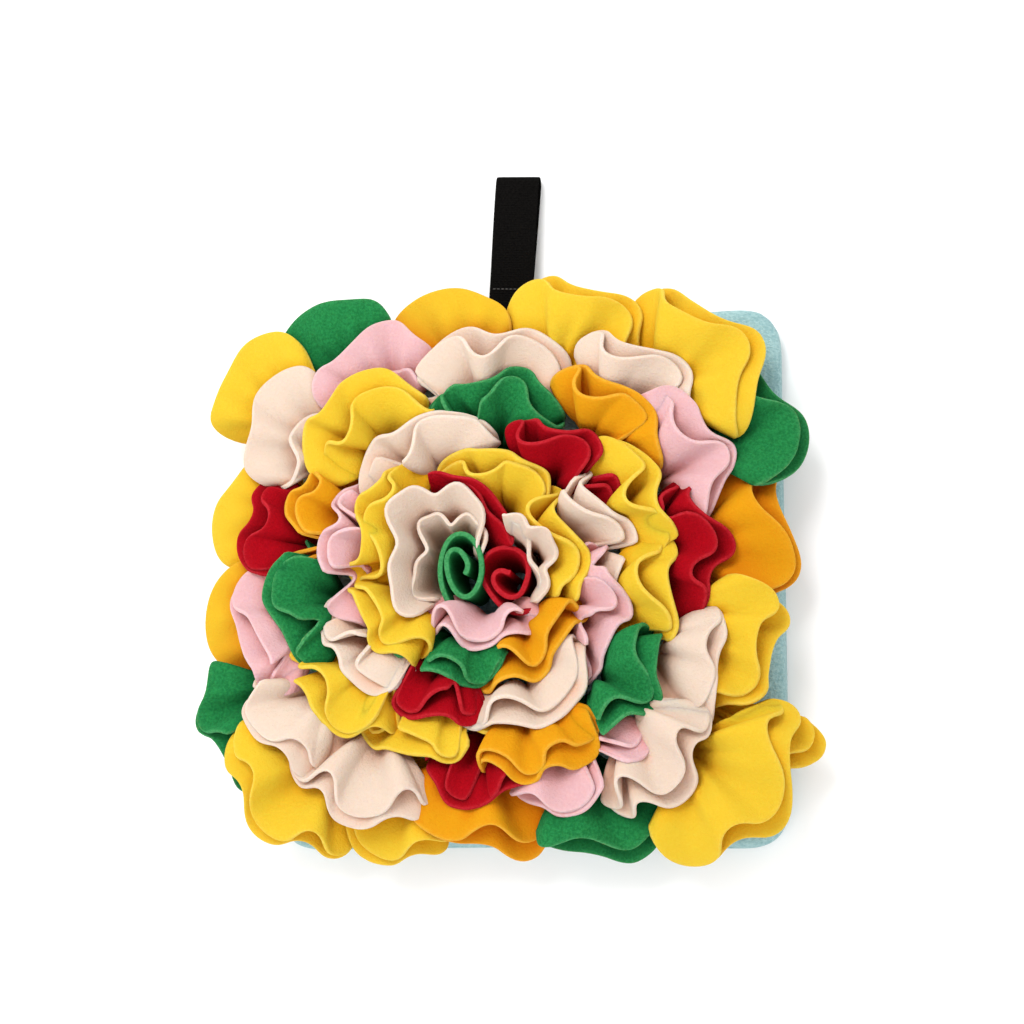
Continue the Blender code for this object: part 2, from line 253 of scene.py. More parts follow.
class Finish:
    """A node material while it is being made."""

    def __init__(self, name, **constants):
        self.material = bpy.data.materials.new(name)
        self.material.use_nodes = True
        self.tree = self.material.node_tree
        self.shader = self.tree.nodes["Principled BSDF"]
        for socket, value in constants.items():
            self.shader.inputs[socket.replace("_", " ")].default_value = value

    def node(self, kind, settings, inputs, output=0):
        """Add a node of any kind; its inputs are numbers, colours or other nodes' values."""
        made = self.tree.nodes.new(kind)
        for name, value in settings.items():
            setattr(made, name, value)
        for key, value in inputs.items():
            self.feed(made.inputs[key], value)
        return Shade(self, made.outputs[output])

    def feed(self, socket, value):
        """Link a value to a socket, or set it there where it is plain."""
        if isinstance(value, Shade):
            self.tree.links.new(value.socket, socket)
        else:
            socket.default_value = value

    def wear(self, socket, value):
        """Feed one of the shader's own sockets."""
        self.feed(self.shader.inputs[socket], value)

    def place(self):
        """Where on the piece a point lies, in metres."""
        return self.node("ShaderNodeTexCoord", {}, {}, "Object")

    def specks(self, place, size, detail=2.0, roughness=0.5):
        """Noise from 0 to 1 whose blotches are about this size, in metres."""
        return self.node(
            "ShaderNodeTexNoise",
            {"noise_dimensions": "3D"},
            {"Vector": place, "Scale": 0.6 / size, "Detail": detail, "Roughness": roughness},
        )

    def stretch(self, value, low, high):
        """From 0 at low to 1 at high, and no further."""
        return self.node(
            "ShaderNodeMapRange",
            {"clamp": True},
            {"Value": value, "From Min": low, "From Max": high},
        )

    def blend(self, share, first, second):
        """Colour between two colours."""
        inputs = {MIX_SHARE: share, MIX_FIRST: first, MIX_SECOND: second}
        return self.node("ShaderNodeMix", {"data_type": "RGBA"}, inputs, MIX_RESULT)

    def mark(self, name):
        """A number kept at each point of the cloth."""
        return self.node("ShaderNodeAttribute", {"attribute_name": name}, {}, "Fac")

    def relief(self, height, depth):
        """Let the light see this height, from 0 to 1, as a relief of a depth in metres."""
        normal = self.node(
            "ShaderNodeBump", {}, {"Strength": 1.0, "Distance": depth, "Height": height}
        )
        self.wear("Normal", normal)


class Dye(NamedTuple):
    """Colours of one fleece: in full light, in the dips of its nap, painted sheen on the rim,
    painted shade deep in folds.
    """

    light: tuple
    dips: tuple
    # paler colour painted on the cut rim as sheen, also the shader's sheen tint
    pale_and_sheen: tuple
    # warm, darker colour painted into shut-in folds as shade and bounced light
    deep: tuple
    nap: float      # how plainly its nap shows, from 0 to 1


DYES = {
    "yellow": Dye(
        (0.61, 0.42, 0.028), (0.59, 0.35, 0.014), (0.66, 0.49, 0.08), (0.66, 0.30, 0.005), 0.35
    ),
    "orange": Dye(
        (0.58, 0.26, 0.006), (0.55, 0.21, 0.004), (0.64, 0.35, 0.04), (0.56, 0.13, 0.002), 0.35
    ),
    "green": Dye(
        (0.018, 0.21, 0.057), (0.008, 0.12, 0.032), (0.07, 0.29, 0.11), (0.004, 0.08, 0.02), 1.0
    ),
    "pink": Dye(
        (0.60, 0.37, 0.385), (0.54, 0.29, 0.30), (0.64, 0.45, 0.47), (0.60, 0.22, 0.20), 0.45
    ),
    "cream": Dye(
        (0.60, 0.485, 0.395), (0.56, 0.42, 0.33), (0.64, 0.55, 0.48), (0.62, 0.35, 0.24), 0.40
    ),
    "red": Dye(
        (0.32, 0.002, 0.007), (0.22, 0.001, 0.005), (0.42, 0.02, 0.03), (0.16, 0.001, 0.003), 0.55
    ),
}
NAP = 0.9 * MM
FIBRE = 0.5 * MM
GOLDEN_LIGHT = (0.59, 0.36, 0.018)
GOLDEN = ("outer_orange_05", "outer_orange_09")     # orange pieces that are nearer yellow


def fleece(name, dye):
    """Brushed fleece: a fine nap, faint mottling, a paler rim of painted sheen and a warm painted
    shade in folds.
    """
    cloth = Finish(
        name, Roughness=0.95, Specular_IOR_Level=0.04, Sheen_Weight=0.16, Sheen_Roughness=0.4,
        Subsurface_Weight=0.3, Subsurface_Scale=4 * MM, Subsurface_Radius=(1.0, 0.5, 0.25),
        Sheen_Tint=(*dye.pale_and_sheen, 1),
    )
    place = cloth.place()
    nap = cloth.stretch(cloth.specks(place, NAP, 3.0, 0.65), 0.36, 0.64)
    mottle = cloth.stretch(cloth.specks(place, 16 * MM), 0.3, 0.7)
    dips = (1 - nap) * (0.8 * dye.nap) + mottle * 0.18
    body = cloth.blend(dips, (*dye.light, 1), (*dye.dips, 1))
    body = cloth.blend(cloth.mark("golden"), body, (*GOLDEN_LIGHT, 1))
    # painted shade: a warm, darker tone where the cloth is shut in and little sky is seen
    painted_fold_shade = cloth.stretch(cloth.mark("fold"), 0.1, 0.7)
    body = cloth.blend(painted_fold_shade * 0.9, body, (*dye.deep, 1))
    # painted sheen: the cut rim is lightened, as a fuzzy edge catching light
    rim = cloth.mark("rim") ** 2.0 * (0.35 + nap * 0.45)
    cloth.wear("Base Color", cloth.blend(rim, body, (*dye.pale_and_sheen, 1)))
    fibres = cloth.specks(place, FIBRE, 2.0, 0.7)
    cloth.relief(nap * (0.3 + 0.5 * dye.nap) + fibres * 0.4, 0.35 * MM)
    return cloth.material


def base_fleece():
    """Pale teal fleece whose nap lies in fine streaks."""
    cloth = Finish(
        "base_fleece", Roughness=0.95, Specular_IOR_Level=0.1, Sheen_Weight=0.2,
        Sheen_Roughness=0.4,
    )
    place = cloth.place()
    combed = cloth.node(
        "ShaderNodeVectorMath", {"operation": "MULTIPLY"}, {0: place, 1: (0.7, 1.0, 0.8)}
    )
    streaks = cloth.stretch(cloth.specks(combed, NAP, 3.0, 0.6), 0.36, 0.64)
    mottle = cloth.stretch(cloth.specks(place, 14 * MM), 0.3, 0.7)
    tone = (1 - streaks) * 0.6 + mottle * 0.3
    pale, deep = (0.36, 0.54, 0.54, 1), (0.18, 0.33, 0.35, 1)
    cloth.wear("Base Color", cloth.blend(tone, pale, deep))
    fibres = cloth.specks(place, FIBRE, 2.0, 0.7)
    cloth.relief(streaks * 0.7 + fibres * 0.3, 0.5 * MM)
    return cloth.material


def webbing_black():
    """Black woven webbing: dull ridges with a faint sheen on the yarn."""
    cloth = Finish("webbing_black", Roughness=0.85, Specular_IOR_Level=0.03)
    place = cloth.place()
    yarn = cloth.stretch(cloth.specks(place, 0.6 * MM, 2.0, 0.6), 0.3, 0.7)
    black, pale_and_sheen = (0.0015, 0.0013, 0.0012, 1), (0.005, 0.0045, 0.004, 1)
    cloth.wear("Base Color", cloth.blend(yarn, black, pale_and_sheen))
    cloth.relief(yarn, 0.2 * MM)
    return cloth.material


def thread_black():
    """Sewing thread on the loop, a little lighter than the webbing."""
    thread = Finish("thread_black", Roughness=0.5, Specular_IOR_Level=0.5)
    twist = thread.stretch(thread.specks(thread.place(), FIBRE), 0.3, 0.7)
    black, lit = (0.03, 0.028, 0.027, 1), (0.07, 0.066, 0.062, 1)
    thread.wear("Base Color", thread.blend(twist, black, lit))
    return thread.material


def pale_floor():
    """Matt, nearly white floor."""
    floor = Finish("pale_floor", Roughness=0.6, Specular_IOR_Level=0.2)
    dust = floor.stretch(floor.specks(floor.place(), 0.2), 0.3, 0.7)
    floor.wear("Base Color", floor.blend(dust, (0.93, 0.93, 0.93, 1), (0.95, 0.95, 0.95, 1)))
    return floor.material


# ---------------------------------------------------------------- mesh helpers


def object_from(name, mesh, material):
    """A smooth piece of this mesh, in the scene."""
    thing = bpy.data.objects.new(name, mesh)
    bpy.context.scene.collection.objects.link(thing)
    mesh.materials.clear()
    mesh.materials.append(material)
    mesh.shade_smooth()
    return thing


def grid_mesh(name, rows):
    """Mesh of one sheet over a grid of points, with its points in the order of the grid."""
    high, wide = rows.shape[:2]
    near = np.arange((high - 1) * wide).reshape(high - 1, wide)[:, :-1].ravel()
    faces = np.stack((near, near + 1, near + wide + 1, near + wide), axis=1)
    mesh = bpy.data.meshes.new(name)
    mesh.from_pydata(rows.reshape(-1, 3).tolist(), [], faces.tolist())
    return mesh


def add_marks(mesh, name, values):
    """Keep a number at each point, for the cloth's finish to read."""
    mark = mesh.attributes.new(name, "FLOAT", "POINT")
    mark.data.foreach_set("value", np.asarray(values, dtype=np.float32).ravel())


def add_shell(thing, thickness):
    """Give a middle surface its thickness and soft edges."""
    shell = thing.modifiers.new("Thickness", "SOLIDIFY")
    shell.thickness = thickness
    shell.offset = 0.0
    smooth = thing.modifiers.new("Smooth", "SUBSURF")
    smooth.levels = 1
    smooth.render_levels = 1


def frozen(thing):
    """The mesh of an object as its modifiers leave it."""
    bpy.context.view_layer.update()
    shown = thing.evaluated_get(bpy.context.evaluated_depsgraph_get())
    return bpy.data.meshes.new_from_object(shown)


# ---------------------------------------------------------------- fleece pieces


class Skin(NamedTuple):
    """Search tree over a sheet that is already sewn, with the box that it fills."""

    tree: BVHTree
    low: np.ndarray
    high: np.ndarray
    half: float     # half its thickness, where the tree is over its middle


def grid_tree(grids):
    """Search tree over the sheets whose grids of points these are."""
    points, faces = [], []
    for rows in grids:
        high, wide = rows.shape[:2]
        for row in range(high - 1):
            start = len(points) + row * wide
            edge = range(start, start + wide - 1)
            faces += [(at, at + 1, at + wide + 1, at + wide) for at in edge]
        points += [Vector(point) for point in rows.reshape(-1, 3)]
    return BVHTree.FromPolygons(points, faces)


def grid_skin(rows):
    """A sheet, through the middle of its thickness."""
    flat = rows.reshape(-1, 3)
    return Skin(grid_tree([rows]), flat.min(0), flat.max(0), FLEECE_THICK / 2)


def node_skin(node):
    """The outside of a solid from the frame."""
    points = np.array([vertex.co for vertex in node.data.vertices])
    faces = [tuple(face.vertices) for face in node.data.polygons]
    tree = BVHTree.FromPolygons([Vector(point) for point in points], faces)
    return Skin(tree, points.min(0), points.max(0), 0.0)


class Stance(NamedTuple):
    """Where a piece is gathered and the three directions of its sheet."""

    root: np.ndarray
    axis: np.ndarray    # from the gather to the rim's middle
    side: np.ndarray    # along the gather
    inner: np.ndarray   # off the sheet, towards the rosette's heart


def stance(piece, behind=0.0, turned=0.0):
    """How a half stands; `behind` leans it back and `turned` turns it, both in degrees."""
    ring = RINGS[piece.ring]
    over = piece.over or ring.over
    bearing = math.radians(piece.bearing)
    facing = bearing + math.radians(turned)
    lean = math.atan2(ring.up, over) + math.radians(piece.lean - behind)
    outwards = np.array((math.cos(facing), math.sin(facing), 0.0))
    side = np.array((-math.sin(facing), math.cos(facing), 0.0))
    axis = math.cos(lean) * outwards + math.sin(lean) * UPWARDS
    rim = np.array((math.cos(bearing), math.sin(bearing), 0.0)) * piece.out * MM
    height = PAD_THICK + SEAM_GAP + FLEECE_THICK / 2 * abs(math.cos(lean))
    root = ROSETTE + rim - over * MM * outwards + height * UPWARDS
    return Stance(root, axis, side, np.cross(axis, side))


class Layer(NamedTuple):
    """How one half of a folded round differs from the other."""

    phase: float     # how much later its folds start than the piece's, in turns
    deep: float      # depth of its folds, as a share of the ring's
    longer: float    # its length, as a share of the reach
    turn: float      # degrees that it is turned round its gather, one way or the other


BACK = Layer(phase=0.06, deep=0.7, longer=1.03, turn=3.0)
FRONT = Layer(phase=-0.04, deep=1.1, longer=0.98, turn=-3.0)
LINES = np.linspace(-1, 1, ACROSS + 1)
SHARES = np.append(np.linspace(0.0, 1.0 - RIM_BAND, ALONG), 1.0)


def rim_folds(piece, layer, depth):
    """Where each line meets the rim: sideways as a share of the half width, up in metres.

    The heading of the rim swings to and fro, as the run of a river does, so that the folds
    have round crests; the deeper they are for their width, the narrower their necks. Given
    last is how far each line is through the folds, as an angle.
    """
    uneven = LINES + UNEVEN * np.sin(2 * math.pi * (LINES + 2 * piece.phase))
    count = piece.folds
    turns = 2 * math.pi * (count * (uneven + 1) / 2 + piece.phase + layer.phase)
    height = 1 + WANDER * np.sin(0.5 * turns + 20 * piece.phase)
    depth = min(depth, DEEPEST * piece.wide * MM / count)
    swing = SWINGS * math.atan(math.pi * depth * count / (piece.wide * MM))
    heading = swing * np.sin(turns)
    sideways = run_of(np.cos(heading))
    sideways = 2 * sideways / sideways[-1] - 1
    upwards = -depth / 2 * height * np.cos(turns)
    return sideways, upwards, turns


def run_of(steps):
    """Sum along the rim, from 0 at its first line."""
    return np.append(0.0, np.cumsum((steps[1:] + steps[:-1]) / 2))


def fan_points(piece, layer, stand):
    """Middle surface of one layer, as rows of points from the gather out to the rim."""
    ring = RINGS[piece.ring]
    longer = layer.longer - (piece.short if layer is FRONT else 0)
    reach = math.hypot(piece.over or ring.over, ring.up) * MM * longer
    spread = math.asin(min(WIDEST, piece.wide * MM / 2 / reach))
    sideways, upwards, turns = rim_folds(piece, layer, ring.deep * layer.deep * MM)
    sideways *= spread
    upwards /= reach
    swells = np.cos(turns)
    ends = ring.trim * np.abs(LINES) ** 4 + CORNER * np.abs(LINES) ** 16
    lengths = reach * (1.0 + ring.lobe * swells - ends)
    puckers = PUCKERS * np.sin(turns + 9 * LINES + 7 * piece.phase)
    rows = []
    for share in SHARES:
        opened = share**GATHER_OPENS
        ray = np.outer(np.cos(upwards) * np.cos(sideways * opened), stand.axis)
        ray += np.outer(np.cos(upwards) * np.sin(sideways * opened), stand.side)
        ray += np.outer(np.sin(upwards) * opened, stand.inner)
        gather = GATHER_WIDE * (1 - share) * LINES / 2
        arch = (ring.bulge * reach + puckers) * 4 * share * (1 - share)
        arch -= DROOP * LINES**4 * share**2
        row = stand.root + (share * lengths)[:, None] * ray
        rows.append(row + np.outer(gather, stand.side) + np.outer(arch, stand.inner))
    return np.array(rows)


def drawn_together(back, front):
    """Both layers with their sides brought together, where the halves of a round meet."""
    ends = np.abs(LINES)
    near = np.clip((ends - JOINED_FROM) / (1 - JOINED_FROM), 0.0, 1.0) ** 2
    half = near.size // 2
    side = np.where(np.arange(near.size) <= half, 0, -1)
    drift = ((back + front) / 2)[:, side] - np.stack((back, front))[:, :, side]
    return back + drift[0] * near[:, None], front + drift[1] * near[:, None]


def joined(back, front):
    """Both layers as one sheet, from rim to rim."""
    back, front = drawn_together(back, front)
    return np.concatenate((back[::-1], front))


def layers(piece, number, sewn):
    """The two halves of a round piece held at its middle and laid over one another."""
    ring = RINGS[piece.ring]
    drop = ring.drop * MM
    side = 1 if math.sin(8 * piece.bearing) > 0 else -1
    halves = []
    for layer, behind in ((BACK, ring.back), (FRONT, -ring.front - piece.stands)):
        stand = stance(piece, behind, side * layer.turn)
        halves.append(crumpled(fan_points(piece, layer, stand), stand, number + layer.phase))
    back, front = drawn_together(*halves)
    back = lie_over(back, stance(piece), drop, sewn)
    stand = stance(piece, -piece.stands)
    front = lie_over(front, stand, drop, sewn + [grid_skin(back)])
    front[0] += FLEECE_THICK * stand.inner
    return joined(back, front)


def crumpled(rows, stand, number):
    """Soft unevenness of the cloth, more of it towards the rim."""
    moved = rows.copy()
    for step, share in enumerate(SHARES):
        for line in range(rows.shape[1]):
            spot = Vector(rows[step, line]) + Vector((number * NOISE_STEP, 0.0, 0.0))
            broad, fine = (
                deep * noise.noise(spot * often) for often, deep in (BROAD_DENTS, FINE_DENTS)
            )
            moved[step, line] += share * (broad + share * fine) * MM * stand.inner
    return moved


class Wrap(NamedTuple):
    """A layer standing on edge and curled round a point; lengths in mm, angles in degrees."""

    x: float
    y: float
    wide: float       # half the curl, the narrow way
    tall: float       # and the long way
    turned: float     # where the long way points, from +X
    starts: float     # angle at which the outer end lies, from the long way
    turns: float      # how far round it goes; below 0 clockwise
    inmost: float     # size of the curl at the inner end, as a share
    shift: float      # how far the curl's middle moves along the long way
    high: float       # of the rim above the pad
    tip: float        # how much higher the inner end stands
    foot: float       # size of the curl down at the gather, as a share
    flare: float      # how late it opens out; above 2 it falls open in a lip
    waves: float      # folds along it
    depth: float      # of the folds
    phase: float
    egg: float = 0.0  # how much wider the curl is at the end that the long way points to


# x, y, wide, tall, turned, starts, turns, inmost, shift, high, tip, foot, flare, waves, depth,
# phase, egg
WRAPS = {
    "core_green": (
        Wrap(-27, -4, 13, 24, 97, 175, -1.9, 0.20, 4, 48, 2, 0.8, 1, 3, 1.2, 0.2, 0.2),
    ),
    "core_red": (
        Wrap(-2, -6, 17, 20, 118, 190, -1.7, 0.16, 0, 41, 7, 0.6, 1.6, 2.5, 1.8, 0.4),
    ),
    "heart_cream_54": (
        Wrap(-37, 5, 29, 41, 104, -96, 0.78, 1.0, 0, 46, -3, 0.5, 1.9, 3.5, 5, 0.65),
        Wrap(-33, 0, 20, 30, 100, -85, 0.72, 1.0, 0, 45, -2, 0.7, 1.8, 3.5, 5, 0.75),
    ),
    "heart_red_strip": (
        Wrap(-39, 5, 40, 49, 100, -90, 0.25, 1.0, 0, 45, 0, 0.7, 2.0, 1, 2, 0.0),
        Wrap(-39, 5, 37, 44, 100, -92, 0.25, 1.0, 0, 47, 0, 0.45, 1.2, 1.3, 2, 0.3),
    ),
    "heart_cream_55": (
        Wrap(1, 2, 23, 24, 90, -145, 0.40, 1.0, 0, 45, 0, 0.5, 1.9, 2, 3, 0.2),
        Wrap(-4, -4, 19, 26, 90, -150, 0.44, 1.0, 0, 46, 0, 0.7, 1.8, 1.5, 3, 0.0),
    ),
}


def wrap_points(wrap):
    """Middle surface of one curled layer, as rows of points from the gather up to the rim."""
    share = (LINES + 1) / 2
    angle = math.radians(wrap.starts) + 2 * math.pi * wrap.turns * share
    size = 1 - (1 - wrap.inmost) * share**1.4
    heading = math.radians(wrap.turned)
    along = np.array((math.cos(heading), math.sin(heading), 0.0))
    across = np.array((-math.sin(heading), math.cos(heading), 0.0))
    rows = []
    for up in SHARES:
        opened = wrap.foot + (1 - wrap.foot) * up**wrap.flare
        wave = 2 * math.pi * (wrap.waves * share + wrap.phase)
        fold = wrap.depth * up * (np.sin(wave) + 0.45 * np.sin(2.1 * wave + 1))
        long_way = (wrap.tall * size * opened + fold) * np.cos(angle) + wrap.shift * share
        cross_way = (wrap.wide * size * opened + fold) * np.sin(angle)
        cross_way *= 1 + wrap.egg * np.cos(angle)
        rise = (0.6 * up + 0.4 * math.sin(up * math.pi / 2)) * (wrap.high + wrap.tip * share)
        plan = np.outer(long_way, along) + np.outer(cross_way, across) + np.outer(rise, UPWARDS)
        plan += np.array((wrap.x, wrap.y, 0.0))
        rows.append(plan * MM + np.array((0.0, 0.0, PAD_THICK + SEAM_GAP)))
    return np.array(rows)


def wrapped(name, sewn):
    """A piece of curled layers: one stands by itself, and two lay their lips over neighbours."""
    made = [wrap_points(wrap) for wrap in WRAPS[name]]
    if len(made) == 1:
        return made[0]
    upright = Stance(None, np.array((1.0, 0.0, 0.0)), np.array((0.0, 1.0, 0.0)), UPWARDS)
    back, front = (lie_over(rows, upright, LIP_DROP, sewn, LIP_FREE) for rows in made)
    return joined(back, front)


def rise_over(point, stand, drop, sewn):
    """How far a point of a sheet has to rise to rest on the pieces under and beside it."""
    feelers = [np.zeros(3)]
    feelers += [sign * FEELERS * way for sign in (-1, 1) for way in (stand.axis, stand.side)]
    down = Vector(-stand.inner)
    rise = 0.0
    for feeler in feelers:
        high = Vector(point + feeler + drop * stand.inner)
        for skin in sewn:
            gap = FLEECE_THICK / 2 + skin.half + RESTING_GAP
            hit, _, _, fall = skin.tree.ray_cast(high, down, drop + gap)
            if hit:
                rise = max(rise, drop - fall + gap)
    return rise


def eased(rise):
    """Each point's rise as the mean of its neighbours'."""
    edged = np.pad(rise, 1, mode="edge")
    return (edged[:-2, 1:-1] + edged[2:, 1:-1] + edged[1:-1, :-2] + edged[1:-1, 2:]) / 4


def lie_over(rows, stand, drop, sewn, free=1):
    """Raise the sheet in a soft swell where it would cut into the pieces that it lies on.

    Its first rows are free of that, and the gather itself stays where it is sewn.
    """
    flat = rows.reshape(-1, 3)
    low = flat.min(0) - drop
    high = flat.max(0) + drop
    near = [skin for skin in sewn if (skin.low < high).all() and (skin.high > low).all()]
    needed = np.array([[rise_over(point, stand, drop, near) for point in row] for row in rows])
    needed[:free] = 0.0
    rise = needed.copy()
    for _ in range(SPREADING):
        rise = np.maximum(eased(rise), needed)
        rise[0] = 0.0
    for _ in range(EASING):
        rise = (rise + eased(rise)) / 2
        rise[0] = 0.0
    return rows + rise[..., None] * stand.inner


def rim_marks(rows):
    """1 along the cut rim of either layer, falling to 0 inside."""
    marks = np.zeros(rows.shape[:2])
    marks[0] = marks[-1] = 1.0
    marks[1] = marks[-2] = 0.35
    return marks


def close_sides(mesh):
    """Join both halves where their sides meet."""
    form = bmesh.new()
    form.from_mesh(mesh)
    bmesh.ops.remove_doubles(form, verts=form.verts, dist=0.01 * MM)
    form.to_mesh(mesh)
    form.free()


def shut_in(rows, heap):
    """Near 1 deep between the folds, where little of the sky is seen, and 0 on open cloth; it sets
    how much shade is painted into the fleece.
    """
    marks = np.zeros(rows.shape[:2])
    across, along = np.gradient(rows, axis=1), np.gradient(rows, axis=0)
    normals = np.cross(across, along)
    normals /= np.maximum(np.linalg.norm(normals, axis=2, keepdims=True), 1e-12)
    normals *= np.where(normals[..., 2:] < 0, -1, 1)
    for spot in np.ndindex(*marks.shape):
        start = Vector(rows[spot] + normals[spot] * FLEECE_THICK)
        hits = sum(heap.ray_cast(start, way, SHADED_WITHIN)[0] is not None for way in SKY)
        marks[spot] = hits / len(SKY)
    for _ in range(2):
        marks = (marks + eased(marks)) / 2
    return marks


def settled(heights):
    """The heap's own weight: what stands high sinks, and stays above what is under it."""
    return heights - SINKS * np.maximum(0.0, heights - SINKS_ABOVE)


def piece_names():
    """The name of each piece, which is its solid's wherever it has one."""
    solids = 0
    for piece in PIECES:
        solids += not piece.own
        yield piece.own or f"{piece.ring}_{piece.colour}_{solids:02d}"


def tucked(rows, over):
    """Draw in the sheet's lines where their tips would come out through the sheets over it.

    Such a line is shortened along its own path, to half its length at most.
    """
    half = len(SHARES)
    low, high = rows.reshape(-1, 3).min(0), rows.reshape(-1, 3).max(0)
    over = [skin for skin in over if (skin.low < high).all() and (skin.high > low).all()]
    for line in range(rows.shape[1]):
        for part in (slice(half - 1, None, -1), slice(half, None)):
            path = rows[part, line]
            steps = np.diff(path, axis=0)
            runs = np.linalg.norm(steps, axis=1)
            run = np.append(0.0, np.cumsum(runs))
            ends = [
                run[step] + found
                for step in range(half // 2, half - 1)
                for skin in over
                for found in [came_through(skin, path[step], path[step + 1])]
                if found is not None
            ]
            if ends:
                kept = max(run[half // 2], min(ends) - FLEECE_THICK) / run[-1]
                rows[part, line] = np.stack([np.interp(run * kept, run, c) for c in path.T], axis=1)


def came_through(skin, start, end):
    """How far along a step a sheet is met from below, or None."""
    way = Vector(end - start)
    hit, normal, _, far = skin.tree.ray_cast(Vector(start), way.normalized(), way.length)
    if hit is None or way.dot(normal) * normal.z <= 0:
        return None
    return far


def laid_pieces():
    """Points of every piece, each laid over the ones before it."""
    sewn = [node_skin(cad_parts[name]) for name in ("base_pad", "hanging_loop")]
    first = len(sewn)
    made = []
    for number, (piece, name) in enumerate(zip(PIECES, piece_names()), start=1):
        wrap = name.rpartition("_")[0] if piece.ring == "core" else name    # without its number
        rows = wrapped(wrap, sewn) if wrap in WRAPS else layers(piece, number, sewn)
        sewn.append(grid_skin(rows))
        made.append(rows)
    for later, rows in enumerate(made, start=first + 1):
        if len(rows) > len(SHARES):     # not the cores, which have one layer and lie on top
            tucked(rows, sewn[later:])
        rows[..., 2] = settled(rows[..., 2])
    return made


def sew_pieces(finishes):
    """Make every fleece piece; the round nearest to each in size is worked out, but not used."""
    made = laid_pieces()
    heap = grid_tree(made)
    for piece, name, rows in zip(PIECES, piece_names(), made):
        thing = object_from("fleece_" + name, grid_mesh(name, rows), finishes[piece.colour])
        add_marks(thing.data, "rim", rim_marks(rows))
        # how shut in each point is, which sets the painted shade in the fleece's colour
        add_marks(thing.data, "fold", shut_in(rows, heap))
        add_marks(thing.data, "golden", np.full(rows.shape[:2], float(name in GOLDEN)))
        close_sides(thing.data)
        add_shell(thing, FLEECE_THICK * (CORE_THICKER if piece.ring == "core" else 1.0))
        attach(thing, "root")
        area = sum(face.area for face in thing.data.polygons)
        radius = min(CUTS, key=lambda cut: abs(cut - math.sqrt(area / math.pi)))
        if not piece.own:
            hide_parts(name)


# ---------------------------------------------------------------- padded base

EVEN_MESH = 5 * MM       # step of the even mesh that is blown up
SLACK = 1.5 * MM         # how much lower its face starts
SWELL_PRESSURE = 4.0
SWELL_STEPS = 20
SWELL_MOST = 3 * MM      # most that a point may move
TUFT = 6 * MM            # radius that a gather holds down
SEAM_HIGH = 9 * MM       # of the side seam over the floor
SEAM_BROAD = 2.6 * MM
SEAM_DEEP = 1.6 * MM
SEAM_REACH = 12 * MM     # how far in from the pad's edge it draws


def padded_base(material):
    """The fleece pad: copied a little slack, blown up between its tufts, and resting flat."""
    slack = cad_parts["base_pad"].data.copy()
    start = object_from("fleece_base", slack, material)
    remesh = start.modifiers.new("Even", "REMESH")
    remesh.mode = "VOXEL"
    remesh.voxel_size = EVEN_MESH
    even = frozen(start)
    start.modifiers.clear()
    start.data = even
    even.shade_smooth()
    points = np.array([vertex.co for vertex in even.vertices])
    high = points[:, 2] > PAD_THICK / 2
    points[high, 2] -= SLACK
    rest = points.copy()
    even.vertices.foreach_set("co", points.ravel())
    tufts = start.vertex_groups.new(name="held")
    held = held_points(points)
    tufts.add([int(index) for index in np.flatnonzero(held)], 1.0, "REPLACE")
    swell = start.modifiers.new("Swell", "CLOTH")
    swell.settings.quality = 5
    swell.settings.use_pressure = True
    swell.settings.uniform_pressure_force = SWELL_PRESSURE
    swell.settings.vertex_group_mass = "held"
    swell.settings.effector_weights.gravity = 0.0
    swell.point_cache.frame_end = SWELL_STEPS
    for step in range(1, SWELL_STEPS + 1):
        bpy.context.scene.frame_set(step)
    blown = frozen(start)
    start.modifiers.clear()
    moved = np.array([vertex.co for vertex in blown.vertices]) - rest
    far = np.linalg.norm(moved, axis=1, keepdims=True)
    points = rest + moved * np.minimum(1.0, SWELL_MOST / np.maximum(far, 1e-9))
    bpy.context.scene.frame_set(1)
    points = seamed(points)
    points[:, 2] = np.maximum(points[:, 2], 0.0)
    start.data.vertices.foreach_set("co", points.ravel())
    start.data.materials.clear()
    start.data.materials.append(material)
    smooth = start.modifiers.new("Smooth", "SUBSURF")
    smooth.levels = 1
    smooth.render_levels = 1
    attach(start, "root")
    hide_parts("base_pad")


def foot(piece):
    """Where on the pad a piece is gathered."""
    if piece.ring == "core":
        wrap = WRAPS["core_" + piece.colour][0]
        return np.array((wrap.x, wrap.y)) * MM
    return stance(piece).root[:2]


def held_points(points):
    """Which points of the pad stay: the back, and a spot under each gather."""
    held = points[:, 2] < 1.0 * MM
    for piece in PIECES:
        root = foot(piece)
        near = np.hypot(points[:, 0] - root[0], points[:, 1] - root[1]) < TUFT
        held |= near & (points[:, 2] > PAD_THICK / 2)
    return held


def seamed(points):
    """Draw the pad's side in along the seam that joins its two faces."""
    plan = points[:, :2]
    edge = np.maximum(np.abs(plan[:, 0]) - PAD_WIDE / 2, np.abs(plan[:, 1]) - PAD_TALL / 2)
    close = np.clip(1 + edge / SEAM_REACH, 0.0, 1.0)
    near_seam = np.exp(-(((points[:, 2] - SEAM_HIGH) / SEAM_BROAD) ** 2))
    pull = SEAM_DEEP * close * near_seam
    length = np.maximum(np.linalg.norm(plan, axis=1), 1e-9)
    points[:, :2] = plan - plan / length[:, None] * pull[:, None]
    return points


# ---------------------------------------------------------------- hanging loop

RIB_PITCH = 1.4 * MM
RIB_DEPTH = 0.16 * MM
STITCHES = 9
STITCHED_WIDE = 0.86     # share of the webbing's width that the stitches cross
STITCH_LONG = 0.42       # half a stitch's length, as a share of the stitches' pitch
STITCH_WIDE = 0.28 * MM  # half its width
STITCH_HIGH = 0.22 * MM  # and half its height
STITCHED_AT = (15 * MM, 11.6 * MM)      # ahead of the seam and over the floor


